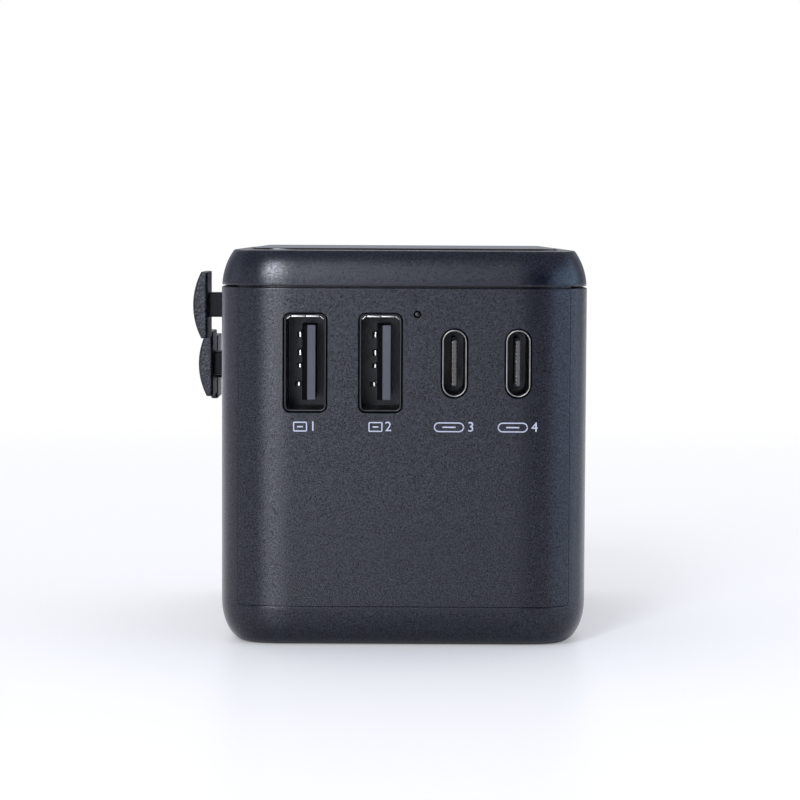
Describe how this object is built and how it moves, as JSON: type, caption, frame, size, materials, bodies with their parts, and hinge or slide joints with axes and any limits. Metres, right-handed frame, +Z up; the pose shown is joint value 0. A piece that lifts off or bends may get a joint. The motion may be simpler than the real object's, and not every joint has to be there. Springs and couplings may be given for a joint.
{
  "type": "universal travel adapter",
  "caption": "Boxy dark travel adapter with a universal mains socket on top, USB-A and USB-C ports, and slider knobs that push fold-away plug pins out of the base.",
  "frame": {"origin": "centre of the flat bottom face that the adapter stands on", "axes": "+Z up towards the socket, -Y towards the USB face, -X towards the slider knobs; +Y is the longest way"},
  "size_m": [0.0545, 0.068, 0.0533],
  "materials": {
    "casing_plastic": "dark slate, fine spark texture",
    "knob_plastic": "dark slate, satin",
    "gloss_black": "polished black",
    "inner_plastic": "black, satin",
    "shutter_plastic": "dark grey, satin",
    "port_steel": "plated sheet",
    "port_tongue": "grey, satin",
    "plated_brass": "nickel plated",
    "contact_brass": "bright strip",
    "spring_steel": "drawn wire",
    "screw_steel": "blackened",
    "circuit_board": "green solder mask",
    "ferrite": "sintered, matt",
    "winding_tape": "yellow tape over a winding",
    "capacitor_sleeve": "dark blue sleeve",
    "copper_wire": "enamelled copper",
    "fuse_ceramic": "off-white ceramic",
    "light_pipe": "clear"
  },
  "bodies": {
    "case": {"bulk_capacitor": "capacitor_sleeve", "choke": "copper_wire", "front_panel": "casing_plastic", "fuse_end_lower": "plated_brass", "fuse_end_upper": "plated_brass", "fuse_tube": "fuse_ceramic", "led_light_pipe": "light_pipe", "live_contact": "contact_brass", "main_housing": "casing_plastic", "neutral_contact": "contact_brass", "port_board": "circuit_board", "power_board": "circuit_board", "screw_front_left": "screw_steel", "screw_front_right": "screw_steel", "screw_rear_left": "screw_steel", "screw_rear_right": "screw_steel", "shutter_spring": "spring_steel", "side_port_board": "circuit_board", "socket_carrier": "inner_plastic", "socket_plate": "gloss_black", "status_led": "light_pipe", "top_cover": "casing_plastic", "transformer_coil": "winding_tape", "transformer_core": "ferrite", "usb_a_1_shell": "port_steel", "usb_a_1_tongue": "port_tongue", "usb_a_2_shell": "port_steel", "usb_a_2_tongue": "port_tongue", "usb_c_1_shell": "port_steel", "usb_c_1_tongue": "port_tongue", "usb_c_2_shell": "port_steel", "usb_c_2_tongue": "port_tongue", "usb_c_3_shell": "port_steel", "usb_c_3_tongue": "port_tongue"},
    "uk_plug": {"uk_carriage": "inner_plastic", "uk_live_pin": "plated_brass", "uk_neutral_pin": "plated_brass", "uk_earth_pin": "inner_plastic", "uk_latch_spring": "spring_steel"},
    "uk_button": {"uk_knob": "knob_plastic", "uk_latch": "inner_plastic"},
    "eu_plug": {"eu_carriage": "inner_plastic", "eu_left_pin": "plated_brass", "eu_right_pin": "plated_brass", "eu_left_sleeve": "inner_plastic", "eu_right_sleeve": "inner_plastic", "eu_latch_spring": "spring_steel"},
    "eu_button": {"eu_knob": "knob_plastic", "eu_latch": "inner_plastic"},
    "us_plug": {"us_carriage": "inner_plastic", "us_latch_spring": "spring_steel"},
    "us_button": {"us_knob": "knob_plastic", "us_latch": "inner_plastic"},
    "us_left_contact": {"us_left_turret": "inner_plastic", "us_left_blade": "plated_brass"},
    "us_right_contact": {"us_right_turret": "inner_plastic", "us_right_blade": "plated_brass"},
    "shutter": {"safety_shutter": "shutter_plastic"},
    "fuse_drawer": {"fuse_cap": "casing_plastic"}
  },
  "joints": [
    {"name": "uk_slider", "type": "slide", "parent": "case", "child": "uk_plug", "axis": [0, 0, -1], "range_m": [0, 0.0232]},
    {"name": "uk_button_press", "type": "slide", "parent": "uk_plug", "child": "uk_button", "axis": [1, 0, 0], "range_m": [0, 0.001], "stiffness_N_per_m": 1500, "springref_m": -0.001, "deforming": ["uk_latch_spring"]},
    {"name": "eu_slider", "type": "slide", "parent": "case", "child": "eu_plug", "axis": [0, 0, -1], "range_m": [0, 0.0197]},
    {"name": "eu_button_press", "type": "slide", "parent": "eu_plug", "child": "eu_button", "axis": [1, 0, 0], "range_m": [0, 0.001], "stiffness_N_per_m": 1500, "springref_m": -0.001, "deforming": ["eu_latch_spring"]},
    {"name": "us_slider", "type": "slide", "parent": "case", "child": "us_plug", "axis": [0, 0, -1], "range_m": [0, 0.0177]},
    {"name": "us_button_press", "type": "slide", "parent": "us_plug", "child": "us_button", "axis": [1, 0, 0], "range_m": [0, 0.001], "stiffness_N_per_m": 1500, "springref_m": -0.001, "deforming": ["us_latch_spring"]},
    {"name": "us_left_blade_turn", "type": "hinge", "parent": "us_plug", "child": "us_left_contact", "pos_m": [-0.00635, 0.0254, 0.02], "axis": [0, 0, 1], "range_deg": [0, 30]},
    {"name": "us_right_blade_turn", "type": "hinge", "parent": "us_plug", "child": "us_right_contact", "pos_m": [0.00635, 0.0254, 0.02], "axis": [0, 0, -1], "range_deg": [0, 30]},
    {"name": "shutter_slide", "type": "slide", "parent": "case", "child": "shutter", "axis": [0, -1, 0], "range_m": [0, 0.0088], "stiffness_N_per_m": 60, "springref_m": -0.004, "deforming": ["shutter_spring"]},
    {"name": "fuse_cap_turn", "type": "hinge", "parent": "case", "child": "fuse_drawer", "pos_m": [0.0155, -0.016, 0], "axis": [0, 0, 1], "range_deg": [0, 90]}
  ]
}
